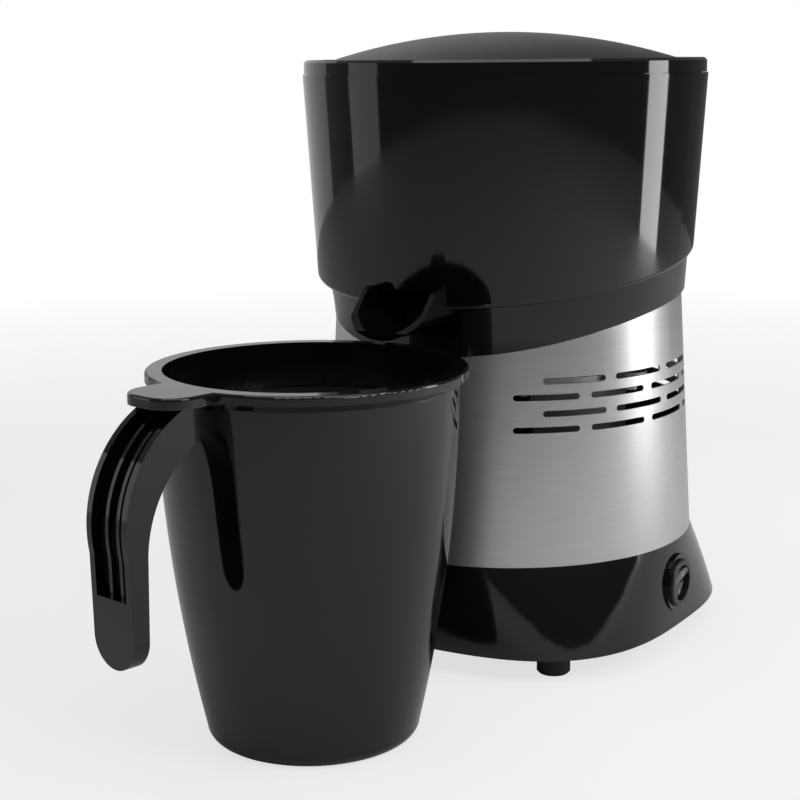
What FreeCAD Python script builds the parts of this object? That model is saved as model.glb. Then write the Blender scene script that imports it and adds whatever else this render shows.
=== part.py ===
import FreeCAD, Part
import math
import os

V = FreeCAD.Vector
UP = V(0, 0, 1)

# ---------------------------------------------------------------- driving sizes (mm, degrees)
# Heights are above the surface that the feet and the jug stand on.
FIT = 0.3              # gap between pieces that lift or turn past each other
RUN = 0.05             # radial gap of a shaft in its bearing
HOLE = 0.1             # radial gap of a screw in its hole
WALL = 2.5             # moulded plastic wall

BODY_BACK = 5.0        # how far the sleeve's axis sits behind the motor axis
SKIRT_TOP = 52.5       # seam between the skirt and the steel sleeve
SKIRT_BOTTOM = 10.7
SKIRT_TOP_R = 90.6
SKIRT_HALF_X = 92.2
SKIRT_HALF_Y = 96.0
SKIRT_BACK = 12.4      # centre of the skirt's lower outline, behind the motor axis
SKIRT_POWER = 2.96     # superellipse power of that outline
OUTLINE_POINTS = 36
WEB = 3.0              # flat web under the sleeve
WEB_BORE = 66.0
PLATE = 2.5            # base plate
PLATE_INSET = 4.4

FOOT_R = 7.75
FOOT_X = 56.5
FOOT_FRONT_Y = -56.0
FOOT_REAR_Y = 80.0
FOOT_SCREW_R = 1.75
FOOT_BOSS_R = 5.0
FOOT_BOSS_TOP = 36.0

SLEEVE_R_TOP = 84.3    # outside, at SLEEVE_TOP
SLEEVE_TOP = 160.0
SLEEVE_SHEET = 0.8
SLOT_HIGH = 2.8
SLOT_SPAN = 20.4
SLOT_PITCH = 24.3
SLOT_ROWS = ((137.3, 38.4, 11), (130.0, 29.4, 12), (122.6, 38.4, 11), (115.3, 29.4, 12))

WAVE_MEAN = 163.2      # the shroud's lower edge rises from front to back in one wave
WAVE_ONE = 11.6
WAVE_TWO = 4.2
WAVE_GAP = 0.2

SEAM_MEAN = 184.3      # seam between the shroud and the bowl, a slanted plane
SEAM_SLOPE = 0.16
SEAM_GAP = 0.5

DECK_TOP = 153.0
DECK = 3.0
DECK_BORE = 15.0
POST_R = 5.0
POST_RING = 72.0
COLLAR_BOTTOM = 138.0
COLLAR_WALL = 2.0

BOWL_TOP = 271.9
BOWL_TOP_R = 96.0
BOWL_TAPER = 0.0617    # radius lost per millimetre of drop
BOWL_WALL = 2.6
TUB_R = 75.5
TUB_FLOOR = 161.5
TUB_FLOOR_THICK = 2.5
SHELF_TOP = 203.0
SHELF = 2.6
WELL_R = 13.0
WELL_WALL = 2.4
WELL_TOP = 199.0

SPOUT_OUT = 114.0      # how far the spout reaches in front of the motor axis
SPOUT_HALF = 18.5
SPOUT_WALL = 2.3
SPOUT_LOW = 159.0      # underside of the trough
SPOUT_CORNER = 168.0
SPOUT_TOP = 180.0
SPOUT_ROOT = 98.0      # where the side walls reach their full height
ARCH_TOP = 178.0

LID_BAND = 6.6
LID_BAND_R = 95.3
LID_PLUG = 6.0         # how far the lid reaches into the bowl
LID_WALL = 2.4
DOME_R = 89.0
DOME_HIGH = 13.0
DOME_THICK = 2.2

CONE_BASE_R = 33.0
CONE_BASE = 196.0
CONE_TOP = 262.0
CONE_WALL = 2.6
CONE_RIBS = 12
CONE_BOSS_R = 8.0
DRIVE_SQUARE = 5.4
DRIVE_HIGH = 14.0
SPINDLE_R = 4.0
SPINDLE_CUP_R = 9.0

STRAINER_R = 87.0
STRAINER_BASKET_R = 71.0
STRAINER_FLOOR = 186.0
STRAINER_THICK = 2.0
STRAINER_COLLAR_R = 36.5
STRAINER_COLLAR_TOP = 199.0
STRAINER_SLOTS = 48

JUG_Y = -170.0
JUG_TURN = -12.0       # the handle's heading, from straight out in front
JUG_HIGH = 157.0
JUG_RIM_R = 66.0
JUG_MOUTH_R = 59.0
JUG_RIM = 4.0
RIM_ROUND = 1.2
JUG_NECK_R = 62.3
JUG_WAIST_R = 57.2
JUG_FOOT_R = 45.0
JUG_WALL = 2.5
JUG_EDGE = 6.0         # rounding round the bottom
JUG_BEND = 75.0        # height at which the wall's bow is measured
TAB_OUT = 86.0
TAB_HALF = 16.0
TAB_THICK = 4.5
HANDLE_OUT = 103.5
HANDLE_THICK = 9.0
HANDLE_HALF = 12.0
HANDLE_LOW = 54.0
HANDLE_SHOULDER = 112.0
CHANNEL_HALF = 9.0
CHANNEL_DEEP = 5.5
CHANNEL_LOW = 82.0
RIB = 1.8
JUG_STRAINER_Z = 134.0
JUG_STRAINER_DEEP = 9.0
JUG_STRAINER_RING = 3.0
MESH_SHEET = 0.8
MESH_HOLE = 2.2
MESH_STEP = 5.0

SHAFT_R = 4.0
SHAFT_LOW = 53.0
SHAFT_TOP = 162.0
STACK_LOW = 84.0
STACK_TOP = 130.0
STATOR_R = 60.0
YOKE = 13.0
BORE_R = 28.0
AIR_GAP = 0.4
POLE_NECK = 18.0
POLE_SHOE = 5.0
POLE_ARC = 70.0
COIL_BUILD = 8.0
COIL_RADIAL = 9.4
END_RING = 6.0
BRACKET_RING = 4.0
BRACKET_HUB_R = 16.0
BEARING_R = 11.0
BEARING_HIGH = 8.0
BOLT_RING = 54.0
BOLT_R = 2.0
MOUNT_RING = 67.0
MOUNT_LUG_R = 8.5
GROMMET_R = 4.6
MOUNT_SCREW_R = 1.8
FAN_R = 46.0
FAN_BLADES = 9
FAN_LOW = 54.5
FAN_HIGH = 8.0

SWITCH_Y = 6.0
SWITCH_Z = 31.8
SWITCH_BEZEL_R = 11.5
SWITCH_BARREL_R = 10.0
SWITCH_FACE_X = 92.4
SWITCH_BEZEL = 1.8
SWITCH_DEEP = 18.0
ROCKER_R = 8.3
ROCKER_TILT = 9.0

INLET_Z = 25.0
INLET_R = 6.0
INLET_FLANGE_R = 8.5
INLET_BORE_R = 3.6
INLET_FACE_Y = 105.9

POST_ANGLES = (35.0, 145.0, 215.0, 325.0)
MOUNT_ANGLES = (0.0, 90.0, 180.0, 270.0)
BOLT_ANGLES = (45.0, 135.0, 225.0, 315.0)
HUB_SQUARE = 8.0
ROCKER_X = SWITCH_FACE_X - 1.0
UPPER_HUB = (STACK_TOP + COIL_BUILD + 1.5, STACK_TOP + COIL_BUILD + 3.5 + BEARING_HIGH)
LOWER_HUB = (STACK_LOW - COIL_BUILD - 3.5 - BEARING_HIGH, STACK_LOW - COIL_BUILD - 1.5)


# ---------------------------------------------------------------- small helpers
def cylinder(radius, low, high, x=0.0, y=0.0):
    return Part.makeCylinder(radius, high - low, V(x, y, low), UP)


def side_cylinder(radius, x0, x1):
    return Part.makeCylinder(radius, x1 - x0, V(x0, SWITCH_Y, SWITCH_Z), V(1, 0, 0))


def rear_cylinder(radius, y0, y1):
    return Part.makeCylinder(radius, y1 - y0, V(0, y0, INLET_Z), V(0, 1, 0))


def ring(outer, inner, low, high, x=0.0, y=0.0):
    return cylinder(outer, low, high, x, y).cut(cylinder(inner, low - 1, high + 1, x, y))


def block(x0, x1, y0, y1, z0, z1):
    return Part.makeBox(x1 - x0, y1 - y0, z1 - z0, V(x0, y0, z0))


def spun(outline, angle=360):
    """A closed outline of (radius, height) points turned about the vertical axis."""
    points = [V(r, 0, z) for r, z in outline]
    face = Part.Face(Part.makePolygon(points + points[:1]))
    return face.revolve(V(0, 0, 0), UP, angle)


def spun_edges(edges):
    return Part.Face(Part.Wire(edges)).revolve(V(0, 0, 0), UP, 360)


def line(a, b):
    return Part.makeLine(V(a[0], 0, a[1]), V(b[0], 0, b[1]))


def arc(a, b, c):
    return Part.Arc(V(a[0], 0, a[1]), V(b[0], 0, b[1]), V(c[0], 0, c[1])).toShape()


def turned(shape, angle, centre=V(0, 0, 0), axis=UP):
    copy = shape.copy()
    copy.rotate(centre, axis, angle)
    return copy


def moved(shape, x=0.0, y=0.0, z=0.0):
    copy = shape.copy()
    copy.translate(V(x, y, z))
    return copy


def around(shape, count, start=0.0):
    return [turned(shape, start + 360.0 * k / count) for k in range(count)]


def joined(shapes):
    first, *rest = shapes
    return first.fuse(rest).removeSplitter() if rest else first


def group(shapes):
    return Part.makeCompound(shapes)


def unique(edges):
    kept = []
    for edge in edges:
        if not any(edge.isSame(other) for other in kept):
            kept.append(edge)
    return kept


def polar(radius, angle):
    return radius * math.sin(math.radians(angle)), -radius * math.cos(math.radians(angle))


def screw(head_r, head, shank_r, length):
    """Head down at height 0, shank pointing up."""
    body = cylinder(head_r, 0, head).fuse(cylinder(shank_r, head, head + length))
    slot = block(-head_r, head_r, -0.4, 0.4, -0.1, head * 0.4)
    return body.cut(slot)


# ---------------------------------------------------------------- shared curves
def skirt_section(height, inset=0.0):
    """The skirt's outline at a height: a circle at the sleeve, a rounded square at the bottom."""
    t = (SKIRT_TOP - height) / (SKIRT_TOP - SKIRT_BOTTOM)
    power = 2 + (SKIRT_POWER - 2) * t
    half_x = SKIRT_TOP_R + (SKIRT_HALF_X - SKIRT_TOP_R) * t - inset
    half_y = SKIRT_TOP_R + (SKIRT_HALF_Y - SKIRT_TOP_R) * t - inset
    back = BODY_BACK + (SKIRT_BACK - BODY_BACK) * t
    points = []
    for k in range(OUTLINE_POINTS):
        c = math.cos(2 * math.pi * k / OUTLINE_POINTS)
        s = math.sin(2 * math.pi * k / OUTLINE_POINTS)
        reach = (abs(c / half_x) ** power + abs(s / half_y) ** power) ** (-1 / power)
        points.append(V(reach * c, back + reach * s, height))
    curve = Part.BSplineCurve()
    curve.interpolate(Points=points, PeriodicFlag=True)
    return Part.Wire(curve.toShape())


def skirt_solid(low, high, inset):
    steps = 4
    heights = [low + (high - low) * k / steps for k in range(steps + 1)]
    return Part.makeLoft([skirt_section(z, inset) for z in heights], True)


def sleeve_radius(height):
    slope = (SKIRT_TOP_R - 0.2 - SLEEVE_R_TOP) / (SLEEVE_TOP - SKIRT_TOP)
    return SLEEVE_R_TOP + slope * (SLEEVE_TOP - height)


def sleeve_cone(low, high, inset):
    return Part.makeCone(sleeve_radius(low) - inset, sleeve_radius(high) - inset, high - low,
                         V(0, BODY_BACK, low), UP)


def wave_height(angle):
    a = math.radians(angle)
    return WAVE_MEAN - WAVE_ONE * math.cos(a) - WAVE_TWO * math.cos(2 * a)


def wave_band(offset):
    """The space above (offset > 0) or below (offset < 0) the wave, as a closed band."""
    wires = []
    for radius in (WEB_BORE, 1.2 * SKIRT_TOP_R):
        points = []
        for k in range(24):
            x, y = polar(radius, 15 * k)
            points.append(V(x, BODY_BACK + y, wave_height(15 * k)))
        curve = Part.BSplineCurve()
        curve.interpolate(Points=points, PeriodicFlag=True)
        wires.append(curve.toShape())
    face = Part.makeRuledSurface(wires[0], wires[1])
    return face.extrude(V(0, 0, offset))


def seam_side(above, shift=0.0):
    """Everything above or below the slanted seam plane."""
    size = 400.0
    angle = math.degrees(math.atan(SEAM_SLOPE))
    z0 = 0.0 if above else -size
    half = Part.makeBox(2 * size, 2 * size, size, V(-size, -size, z0))
    half.rotate(V(0, 0, 0), V(1, 0, 0), angle)
    half.translate(V(0, 0, SEAM_MEAN + shift))
    return half


def bowl_radius(height):
    return BOWL_TOP_R - BOWL_TAPER * (BOWL_TOP - height)


# ---------------------------------------------------------------- base
def foot_places():
    return [(sx * FOOT_X, y) for y in (FOOT_FRONT_Y, FOOT_REAR_Y) for sx in (-1, 1)]


def base_skirt():
    shell = skirt_solid(SKIRT_BOTTOM, SKIRT_TOP, 0.0)
    hollow = skirt_solid(SKIRT_BOTTOM - 1, SKIRT_TOP - WEB, WALL)
    shell = shell.cut(hollow).cut(cylinder(WEB_BORE, SKIRT_TOP - WEB - 1, SKIRT_TOP + 1))
    plate_top = SKIRT_BOTTOM + 1 + PLATE
    inside = skirt_solid(SKIRT_BOTTOM, SKIRT_TOP - WEB / 2, WALL / 2)
    bosses = [cylinder(FOOT_BOSS_R, plate_top, SKIRT_TOP - WEB, x, y).common(inside) for x, y in foot_places()]
    pad = side_cylinder(SWITCH_BEZEL_R + 2.5, SWITCH_FACE_X - 9, SWITCH_FACE_X)
    seat = rear_cylinder(INLET_FLANGE_R + 1.5, INLET_FACE_Y - 9, INLET_FACE_Y)
    shell = joined([shell, pad, seat] + bosses)
    cuts = [cylinder(FOOT_SCREW_R + RUN, 0, FOOT_BOSS_TOP, x, y) for x, y in foot_places()]
    cuts += [cylinder(MOUNT_SCREW_R + HOLE, SKIRT_TOP - WEB - 1, SKIRT_TOP + 1, *polar(POST_RING, a))
             for a in POST_ANGLES]
    cuts.append(side_cylinder(SWITCH_BARREL_R + HOLE, SWITCH_FACE_X - 30, SWITCH_FACE_X + 10))
    cuts.append(side_cylinder(SWITCH_BEZEL_R + 2.5, SWITCH_FACE_X, SWITCH_FACE_X + 10))
    cuts.append(rear_cylinder(INLET_R + HOLE, INLET_FACE_Y - 30, INLET_FACE_Y + 10))
    cuts.append(rear_cylinder(INLET_FLANGE_R + 1.5, INLET_FACE_Y, INLET_FACE_Y + 10))
    return shell.cut(cuts)


def base_plate():
    low = SKIRT_BOTTOM + 1
    outline = skirt_section(SKIRT_BOTTOM, PLATE_INSET)
    outline.translate(V(0, 0, low - SKIRT_BOTTOM))
    plate = Part.Face(outline).extrude(V(0, 0, PLATE))
    cuts = [cylinder(FOOT_SCREW_R + HOLE, 0, low + PLATE + 1, x, y) for x, y in foot_places()]
    slot = block(-1.5, 1.5, 14, 40, low - 1, low + PLATE + 1)
    cuts += around(slot, 16)
    return plate.cut(cuts)


def foot(x, y):
    top = SKIRT_BOTTOM + 1
    body = cylinder(FOOT_R, 0, top, x, y)
    body = body.makeChamfer(1.0, [e for e in body.Edges if e.BoundBox.ZMax < 0.01])
    body = body.cut(cylinder(FOOT_SCREW_R + HOLE, -1, top + 1, x, y))
    return body.cut(cylinder(3.8, -1, 5, x, y))


def foot_screws():
    pin = screw(3.3, 2.2, FOOT_SCREW_R, 26)
    return group([moved(pin, x, y, 2.8) for x, y in foot_places()])


def steel_sleeve():
    high = WAVE_MEAN + WAVE_ONE + 12
    shell = sleeve_cone(SKIRT_TOP, high, 0.0).cut(sleeve_cone(SKIRT_TOP - 1, high + 1, SLEEVE_SHEET))
    shell = shell.cut(moved(wave_band(60), z=-WAVE_GAP))
    cuts = []
    for height, start, count in SLOT_ROWS:
        for k in range(count):
            cuts.append(sleeve_slot(height, start + k * SLOT_PITCH))
    return shell.cut(cuts)


def sleeve_slot(height, start):
    inner = SLEEVE_R_TOP - 6
    outer = SKIRT_TOP_R + 4
    end = math.degrees(SLOT_HIGH / 2 / SKIRT_TOP_R)
    half = SLOT_HIGH / 2
    bar = spun([(inner, height - half), (outer, height - half), (outer, height + half), (inner, height + half)],
               SLOT_SPAN - 2 * end)
    bar.rotate(V(0, 0, 0), UP, start + end - 90)
    pieces = [bar]
    for angle in (start + end, start + SLOT_SPAN - end):
        x, y = polar(1, angle)
        pieces.append(Part.makeCylinder(half, outer - inner, V(x * inner, y * inner, height), V(x, y, 0)))
    return moved(joined(pieces), y=BODY_BACK)


def top_shroud():
    circles = ((COLLAR_BOTTOM, BODY_BACK, 85.9), (158.0, BODY_BACK, 84.9), (168.0, 4.0, 85.6),
               (182.0, 0.8, 87.6), (204.0, 0.0, 89.6))
    def skin(inset):
        wires = [Part.Wire(Part.makeCircle(r - inset, V(0, back, z), UP)) for z, back, r in circles]
        return Part.makeLoft(wires, True)
    shell = skin(0.0).cut(wave_band(-60)).cut(skin(WALL))
    collar_r = sleeve_radius(COLLAR_BOTTOM) - SLEEVE_SHEET - FIT
    top_r = sleeve_radius(SLEEVE_TOP + 12) - SLEEVE_SHEET - FIT
    collar = Part.makeCone(collar_r - 1.0, top_r, SLEEVE_TOP + 12 - COLLAR_BOTTOM,
                           V(0, BODY_BACK, COLLAR_BOTTOM), UP)
    core = Part.makeCone(collar_r - 1.0 - COLLAR_WALL, top_r - COLLAR_WALL - 0.7,
                         SLEEVE_TOP + 12 - COLLAR_BOTTOM, V(0, BODY_BACK, COLLAR_BOTTOM), UP)
    deck = cylinder(collar_r - 2.2, DECK_TOP - DECK, DECK_TOP, 0, BODY_BACK)
    posts = [cylinder(POST_R, SKIRT_TOP, DECK_TOP, *polar(POST_RING, a)) for a in POST_ANGLES]
    pillar_low = STACK_TOP + BRACKET_RING + 2.5
    pillars = [cylinder(POST_R, pillar_low, DECK_TOP, *polar(MOUNT_RING, a)) for a in MOUNT_ANGLES]
    body = joined([shell, collar.cut(core), deck] + posts + pillars)
    neck = ring(DECK_BORE + 2.5, DECK_BORE, DECK_TOP - 1, DECK_TOP + 3)
    body = body.cut(cylinder(DECK_BORE, DECK_TOP - DECK - 1, DECK_TOP + 1)).fuse(neck)
    cuts = [seam_side(True, -SEAM_GAP), cylinder(TUB_R + 0.8, TUB_FLOOR - 1, BOWL_TOP)]
    notch = SPOUT_HALF + 1.2
    cuts.append(block(-notch, notch, -120, -60, SPOUT_LOW - 1.5, 220))
    cuts += [cylinder(MOUNT_SCREW_R + RUN, SKIRT_TOP - 1, SKIRT_TOP + 20, *polar(POST_RING, a))
             for a in POST_ANGLES]
    cuts += [cylinder(MOUNT_SCREW_R + RUN, STACK_TOP, DECK_TOP - 1, *polar(MOUNT_RING, a))
             for a in MOUNT_ANGLES]
    return body.cut(cuts)


def housing_screws():
    pin = screw(3.2, 2.4, MOUNT_SCREW_R, 18)
    return group([moved(pin, *polar(POST_RING, a), SKIRT_TOP - WEB - 2.4) for a in POST_ANGLES])


# ---------------------------------------------------------------- bowl and what stands in it
def trough(half, low, corner, top, front, back):
    """A solid with the trough's outline, pointing forward."""
    a = V(-half, 0, top)
    b = V(-half, 0, corner)
    c = V(0, 0, low)
    d = V(half, 0, corner)
    e = V(half, 0, top)
    edges = [Part.makeLine(a, b), Part.Arc(b, c, d).toShape(), Part.makeLine(d, e), Part.makeLine(e, a)]
    face = Part.Face(Part.Wire(edges))
    face.translate(V(0, -front, 0))
    return face.extrude(V(0, front - back, 0))


def bowl():
    low = 166.0
    outside = spun([(0, low), (bowl_radius(low), low), (BOWL_TOP_R, BOWL_TOP), (0, BOWL_TOP)])
    outside = outside.cut(seam_side(False))
    lower_edge = [e for e in outside.Edges if e.BoundBox.ZLength > 10 and e.BoundBox.XLength > 100]
    outside = outside.makeFillet(2.2, lower_edge)
    under = SHELF_TOP - SHELF
    hollow = spun([(0, low - 20), (bowl_radius(low) - BOWL_WALL - 1, low - 20),
                   (bowl_radius(under) - BOWL_WALL, under), (0, under)])
    shell = outside.cut(hollow)
    cavity = spun([(0, SHELF_TOP), (bowl_radius(SHELF_TOP) - BOWL_WALL, SHELF_TOP),
                   (BOWL_TOP_R - BOWL_WALL, BOWL_TOP + 0.01), (0, BOWL_TOP + 0.01)])
    floor_top = TUB_FLOOR + TUB_FLOOR_THICK
    tub = cylinder(TUB_R, TUB_FLOOR, SHELF_TOP)
    shell = joined([shell, tub]).cut(cavity)
    inner = cylinder(TUB_R - WALL, floor_top, SHELF_TOP + 1)
    inner = inner.makeFillet(6.0, [e for e in inner.Edges if e.BoundBox.ZMax < floor_top + 0.01])
    shell = shell.cut(inner)
    shell = joined([shell, cylinder(WELL_R, TUB_FLOOR, WELL_TOP)])
    gutter_low = SPOUT_LOW + SPOUT_WALL
    gutter_half = SPOUT_HALF - SPOUT_WALL
    gutter_corner = SPOUT_CORNER + SPOUT_WALL
    outlet = trough(gutter_half, gutter_low, gutter_corner, ARCH_TOP, SPOUT_OUT, TUB_R - 4.5)
    shell = shell.cut([outlet, cylinder(WELL_R - WELL_WALL, TUB_FLOOR - 1, WELL_TOP + 1)])
    spout = trough(SPOUT_HALF, SPOUT_LOW, SPOUT_CORNER, SPOUT_TOP, SPOUT_OUT, TUB_R - 6)
    spout = spout.cut(spout_slant())
    spout = spout.cut(trough(gutter_half, gutter_low, gutter_corner, SPOUT_TOP + 2, SPOUT_OUT + 1, TUB_R - 8))
    return joined([shell, spout])


def spout_slant():
    """The space in front of the spout's slanted end and above its side walls."""
    profile = [V(0, -SPOUT_OUT - 1, SPOUT_LOW + 3), V(0, -SPOUT_OUT + 1.5, SPOUT_LOW + 5),
               V(0, -SPOUT_ROOT, SPOUT_TOP - 1.5), V(0, -SPOUT_ROOT + 6, SPOUT_TOP + 1),
               V(0, -SPOUT_OUT - 1, SPOUT_TOP + 1)]
    face = Part.Face(Part.makePolygon(profile + profile[:1]))
    face.translate(V(-60, 0, 0))
    return face.extrude(V(120, 0, 0))


def bowl_bush():
    outer = WELL_R - WELL_WALL
    return ring(outer, SPINDLE_R + RUN, WELL_TOP - 16, WELL_TOP)


def square_bar(side, low, high):
    return block(-side / 2, side / 2, -side / 2, side / 2, low, high)


def spindle():
    cup_top = WELL_TOP - 16 - FIT
    cup = cylinder(SPINDLE_CUP_R, cup_top - 12, cup_top)
    cup = cup.cut(square_bar(HUB_SQUARE + 2 * FIT, cup_top - 13, cup_top - 3))
    post = cylinder(SPINDLE_R, cup_top, WELL_TOP + FIT)
    collar = cylinder(SPINDLE_R + 2, WELL_TOP + FIT, WELL_TOP + 1.5)
    return joined([cup, post, collar, square_bar(DRIVE_SQUARE, WELL_TOP + 1.5, WELL_TOP + DRIVE_HIGH)])


def cone():
    top = CONE_TOP
    base = CONE_BASE
    shoulder = (0.62 * CONE_BASE_R, base + 0.55 * (top - base))
    nose = (4.0, top - 1.5)
    edges = [line((0, base), (CONE_BASE_R, base)), line((CONE_BASE_R, base), (CONE_BASE_R, base + 3)),
             arc((CONE_BASE_R, base + 3), shoulder, nose), line(nose, (0, top)), line((0, top), (0, base))]
    body = spun_edges(edges)
    inside_top = base + 0.72 * (top - base)
    hollow = spun_edges([line((0, base - 1), (CONE_BASE_R - CONE_WALL, base - 1)),
                         line((CONE_BASE_R - CONE_WALL, base - 1), (CONE_BASE_R - CONE_WALL, base + 3)),
                         arc((CONE_BASE_R - CONE_WALL, base + 3), (shoulder[0] - CONE_WALL, shoulder[1] - 3),
                             (CONE_BOSS_R, inside_top)),
                         line((CONE_BOSS_R, inside_top), (0, inside_top)), line((0, inside_top), (0, base - 1))])
    shell = body.cut(hollow)
    boss = cylinder(CONE_BOSS_R, WELL_TOP + 1.5, inside_top + 1)
    rib = Part.Face(Part.makePolygon([V(3.5, 0, top - 3), V(CONE_BASE_R - 0.5, 0, base + 1),
                                      V(CONE_BASE_R + 0.6, 0, base + 4), V(shoulder[0] + 3.0, 0, shoulder[1] + 1),
                                      V(6.5, 0, top - 1.5), V(3.5, 0, top - 3)]))
    rib.translate(V(0, -1.1, 0))
    ribs = around(rib.extrude(V(0, 2.2, 0)), CONE_RIBS)
    body = joined([shell, boss] + ribs)
    return body.cut(square_bar(DRIVE_SQUARE + 0.3, WELL_TOP, WELL_TOP + DRIVE_HIGH + 0.5))


def strainer():
    low = STRAINER_FLOOR
    thick = STRAINER_THICK
    flange = ring(STRAINER_R, STRAINER_BASKET_R - thick, SHELF_TOP + FIT, SHELF_TOP + FIT + thick)
    wall = ring(STRAINER_BASKET_R, STRAINER_BASKET_R - thick, low, SHELF_TOP + FIT + thick)
    floor = ring(STRAINER_BASKET_R, STRAINER_COLLAR_R - thick, low, low + thick)
    collar = ring(STRAINER_COLLAR_R, STRAINER_COLLAR_R - thick, low, STRAINER_COLLAR_TOP)
    body = joined([flange, wall, floor, collar])
    slot = block(-0.8, 0.8, -STRAINER_BASKET_R + 5, -STRAINER_COLLAR_R - 4, low - 1, low + thick + 1)
    return body.cut(around(slot, STRAINER_SLOTS))


def lid_ring():
    low = BOWL_TOP + 0.2
    top = low + LID_BAND
    inner = BOWL_TOP_R - BOWL_WALL - 0.8
    body = spun([(DOME_R - 3, low + 1), (inner - LID_WALL, low + 1), (inner - LID_WALL, low - LID_PLUG),
                 (inner, low - LID_PLUG), (inner, low), (LID_BAND_R, low), (LID_BAND_R, top - 1.2),
                 (LID_BAND_R - 1.2, top), (DOME_R + 0.2, top - 2.6), (DOME_R + 0.2, top - 4.6), (DOME_R - 3, top - 4.6)])
    return body


def lid_panel():
    """The domed panel that sits in the lid ring's rebate: a shallow ball cap, hollow underneath."""
    low = BOWL_TOP + 0.2 + LID_BAND - 4.6
    top = low + DOME_HIGH + 4.0
    cap = top - low - 2.0
    ball_r = (DOME_R ** 2 + cap ** 2) / (2 * cap)
    centre = V(0, 0, top - ball_r)
    outside = cylinder(DOME_R, low, top + 1).common(Part.makeSphere(ball_r, centre))
    inside = cylinder(DOME_R - 3, low - 1, top).common(Part.makeSphere(ball_r - DOME_THICK, centre))
    return outside.cut(inside)


# ---------------------------------------------------------------- jug
def jug_bow(shift, low, top_r):
    """Three points of the jug's bowed wall, the lower two shifted sideways."""
    return (JUG_FOOT_R + shift, low), (JUG_WAIST_R + shift, JUG_BEND), (top_r, JUG_HIGH - 7)


def jug_solid():
    foot_pt, waist, neck = jug_bow(0, JUG_EDGE, JUG_NECK_R)
    edge_mid = (foot_pt[0] - 0.29 * JUG_EDGE - 0.3, 0.29 * JUG_EDGE)
    flat = (foot_pt[0] - JUG_EDGE, 0)
    return spun_edges([line((0, 0), flat), arc(flat, edge_mid, foot_pt), arc(foot_pt, waist, neck),
                       line(neck, (0, neck[1])), line((0, neck[1]), (0, 0))])


def jug_hollow():
    low = JUG_WALL + 0.5
    foot_pt, waist, neck = jug_bow(-JUG_WALL, JUG_EDGE + 1, JUG_MOUTH_R)
    flat = (foot_pt[0] - 4, low)
    return spun_edges([line((0, low), flat), line(flat, foot_pt), arc(foot_pt, waist, neck),
                       line(neck, (JUG_MOUTH_R, JUG_HIGH + 1)),
                       line((JUG_MOUTH_R, JUG_HIGH + 1), (0, JUG_HIGH + 1)), line((0, JUG_HIGH + 1), (0, low))])


def place_jug(shape):
    return moved(turned(shape, JUG_TURN), y=JUG_Y)


def jug_core():
    """The jug's wall and flare as solid pieces, without the rim and the thumb tab."""
    flare = Part.makeCone(JUG_NECK_R - 0.5, JUG_RIM_R - 0.5, 3.2, V(0, 0, JUG_HIGH - JUG_RIM - 3.2), UP)
    neck = cylinder(JUG_NECK_R, JUG_HIGH - 7.2, JUG_HIGH - 1)
    return [jug_solid(), flare, neck]


def jug_body():
    rim_low = JUG_HIGH - JUG_RIM
    rim = cylinder(JUG_RIM_R, rim_low, JUG_HIGH)
    rim = rim.makeFillet(RIM_ROUND, [e for e in rim.Edges if e.BoundBox.ZMin > rim_low + 1])
    tab = block(-TAB_HALF, TAB_HALF, -TAB_OUT, -JUG_MOUTH_R - 1, JUG_HIGH - TAB_THICK, JUG_HIGH)
    corners = [e for e in tab.Edges if e.BoundBox.ZLength > 1 and e.BoundBox.YMin < -TAB_OUT + 1]
    tab = tab.makeFillet(TAB_HALF * 0.75, corners)
    crown = [e for e in tab.Edges if e.BoundBox.ZMin > JUG_HIGH - 0.1 and e.BoundBox.YMax < -JUG_MOUTH_R - 1.5]
    crown += [e for e in tab.Edges if e.BoundBox.ZMin > JUG_HIGH - 0.1 and e.BoundBox.XLength < 0.01]
    tab = tab.makeFillet(RIM_ROUND, unique(crown))
    return place_jug(joined(jug_core() + [rim, tab]).cut(jug_hollow()))


def handle_profile():
    """Side view of the grip: out from the wall under the tab, round the shoulder and down."""
    out = HANDLE_OUT
    top = JUG_HIGH - TAB_THICK
    inn = HANDLE_OUT - HANDLE_THICK
    low = HANDLE_LOW
    points = [V(0, -50, top), V(0, -74, top)]
    shoulder = V(0, -(out - 6), 0.45 * top + 0.55 * HANDLE_SHOULDER + 2)
    knee = V(0, -out, HANDLE_SHOULDER - 14)
    in_knee = V(0, -inn, HANDLE_SHOULDER - 16)
    in_mid = V(0, -(inn - 9), HANDLE_SHOULDER + 12)
    in_top = V(0, -(JUG_NECK_R + 2), top - 12)
    edges = [Part.makeLine(points[0], points[1]), Part.Arc(points[1], shoulder, knee).toShape(),
             Part.makeLine(knee, V(0, -out + 1, low)), Part.makeLine(V(0, -out + 1, low), V(0, -inn - 1, low)),
             Part.makeLine(V(0, -inn - 1, low), in_knee), Part.Arc(in_knee, in_mid, in_top).toShape(),
             Part.makeLine(in_top, V(0, -50, top - 12)), Part.makeLine(V(0, -50, top - 12), points[0])]
    return Part.Face(Part.Wire(edges))


def channel_cut(x0, x1, depth):
    """The space between the grip's outer face and a floor at a depth inside it."""
    floor = handle_profile()
    floor.translate(V(-HANDLE_HALF - 1, depth, -depth * 0.4))
    floor = floor.extrude(V(2 * HANDLE_HALF + 2, 0, 0))
    return block(x0, x1, -HANDLE_OUT - 5, -JUG_NECK_R - 6, CHANNEL_LOW, JUG_HIGH).cut(floor)


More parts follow.
